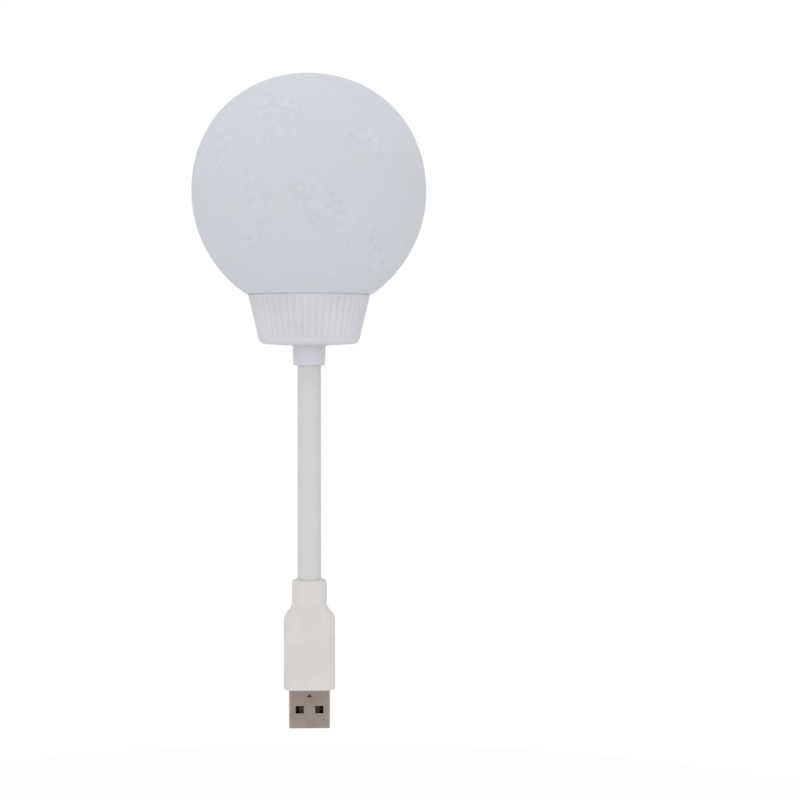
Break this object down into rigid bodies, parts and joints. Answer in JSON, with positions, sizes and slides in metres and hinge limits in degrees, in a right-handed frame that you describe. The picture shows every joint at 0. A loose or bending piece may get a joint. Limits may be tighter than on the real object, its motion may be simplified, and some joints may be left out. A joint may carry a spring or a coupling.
{
  "type": "bedside lamp",
  "caption": "Plug-in night light: a white globe shade on a ribbed collar, carried by a bendable gooseneck that stands on a USB-A plug with a moulded grip.",
  "frame": {"origin": "middle of the plug's seat plane, the overmould's end face that the metal shell comes out of", "axes": "+Z from the plug up the straight neck to the globe, +X across the plug's width, -Y the front, which is the open half of the plug"},
  "size_m": [0.068, 0.068, 0.19],
  "materials": {
    "white_globe": "matte",
    "white_collar": "satin",
    "white_sleeve": "satin",
    "white_overmould": "satin",
    "nickel_shell": "satin",
    "dark_insulator": "satin",
    "gold_contact": "polished",
    "solder": "satin",
    "inner_mould": "satin",
    "brass_ferrule": "satin",
    "zinc_steel": "satin",
    "hose_steel": "satin",
    "lead_insulation": "satin",
    "white_board": "satin",
    "led_case": "satin",
    "phosphor": "gloss",
    "resistor": "satin"
  },
  "bodies": {
    "plug": {"usb_shell": "nickel_shell", "usb_tongue": "dark_insulator", "usb_contacts": "gold_contact", "contact_solder": "solder", "plug_inner_mould": "inner_mould", "plug_overmould": "white_overmould", "lower_ferrule": "brass_ferrule", "plug_leads": "lead_insulation", "neck_sleeve_00": "white_sleeve", "neck_hose_00": "hose_steel"},
    "neck_link_01": {"neck_sleeve_01": "white_sleeve", "neck_hose_01": "hose_steel", "neck_lead_01": "lead_insulation"},
    "neck_link_02": {"neck_sleeve_02": "white_sleeve", "neck_hose_02": "hose_steel", "neck_lead_02": "lead_insulation"},
    "neck_link_03": {"neck_sleeve_03": "white_sleeve", "neck_hose_03": "hose_steel", "neck_lead_03": "lead_insulation"},
    "neck_link_04": {"neck_sleeve_04": "white_sleeve", "neck_hose_04": "hose_steel", "neck_lead_04": "lead_insulation"},
    "neck_link_05": {"neck_sleeve_05": "white_sleeve", "neck_hose_05": "hose_steel", "neck_lead_05": "lead_insulation"},
    "neck_link_06": {"neck_sleeve_06": "white_sleeve", "neck_hose_06": "hose_steel", "neck_lead_06": "lead_insulation"},
    "neck_link_07": {"neck_sleeve_07": "white_sleeve", "neck_hose_07": "hose_steel", "neck_lead_07": "lead_insulation"},
    "neck_link_08": {"neck_sleeve_08": "white_sleeve", "neck_hose_08": "hose_steel", "neck_lead_08": "lead_insulation"},
    "neck_link_09": {"neck_sleeve_09": "white_sleeve", "neck_hose_09": "hose_steel", "neck_lead_09": "lead_insulation"},
    "head": {"neck_sleeve_10": "white_sleeve", "neck_hose_10": "hose_steel", "head_leads": "lead_insulation", "upper_ferrule": "brass_ferrule", "ferrule_washer": "zinc_steel", "ferrule_nut": "zinc_steel", "lamp_collar": "white_collar", "globe": "white_globe", "led_board": "white_board", "board_screws": "zinc_steel", "led_packages": "led_case", "led_phosphor": "phosphor", "led_resistors": "resistor", "lead_solder": "solder"}
  },
  "joints": [
    {"name": "neck_bend_01", "type": "hinge", "parent": "plug", "child": "neck_link_01", "pos_m": [0, 0, 0.0363], "axis": [1, 0, 0], "range_deg": [-20, 20]},
    {"name": "neck_bend_02", "type": "hinge", "parent": "neck_link_01", "child": "neck_link_02", "pos_m": [0, 0, 0.04226], "axis": [0, 1, 0], "range_deg": [-20, 20]},
    {"name": "neck_bend_03", "type": "hinge", "parent": "neck_link_02", "child": "neck_link_03", "pos_m": [0, 0, 0.04822], "axis": [1, 0, 0], "range_deg": [-20, 20]},
    {"name": "neck_bend_04", "type": "hinge", "parent": "neck_link_03", "child": "neck_link_04", "pos_m": [0, 0, 0.05418], "axis": [0, 1, 0], "range_deg": [-20, 20]},
    {"name": "neck_bend_05", "type": "hinge", "parent": "neck_link_04", "child": "neck_link_05", "pos_m": [0, 0, 0.06014], "axis": [1, 0, 0], "range_deg": [-20, 20]},
    {"name": "neck_bend_06", "type": "hinge", "parent": "neck_link_05", "child": "neck_link_06", "pos_m": [0, 0, 0.06611], "axis": [0, 1, 0], "range_deg": [-20, 20]},
    {"name": "neck_bend_07", "type": "hinge", "parent": "neck_link_06", "child": "neck_link_07", "pos_m": [0, 0, 0.07207], "axis": [1, 0, 0], "range_deg": [-20, 20]},
    {"name": "neck_bend_08", "type": "hinge", "parent": "neck_link_07", "child": "neck_link_08", "pos_m": [0, 0, 0.07803], "axis": [0, 1, 0], "range_deg": [-20, 20]},
    {"name": "neck_bend_09", "type": "hinge", "parent": "neck_link_08", "child": "neck_link_09", "pos_m": [0, 0, 0.08399], "axis": [1, 0, 0], "range_deg": [-20, 20]},
    {"name": "neck_bend_10", "type": "hinge", "parent": "neck_link_09", "child": "head", "pos_m": [0, 0, 0.08995], "axis": [0, 1, 0], "range_deg": [-20, 20]}
  ]
}
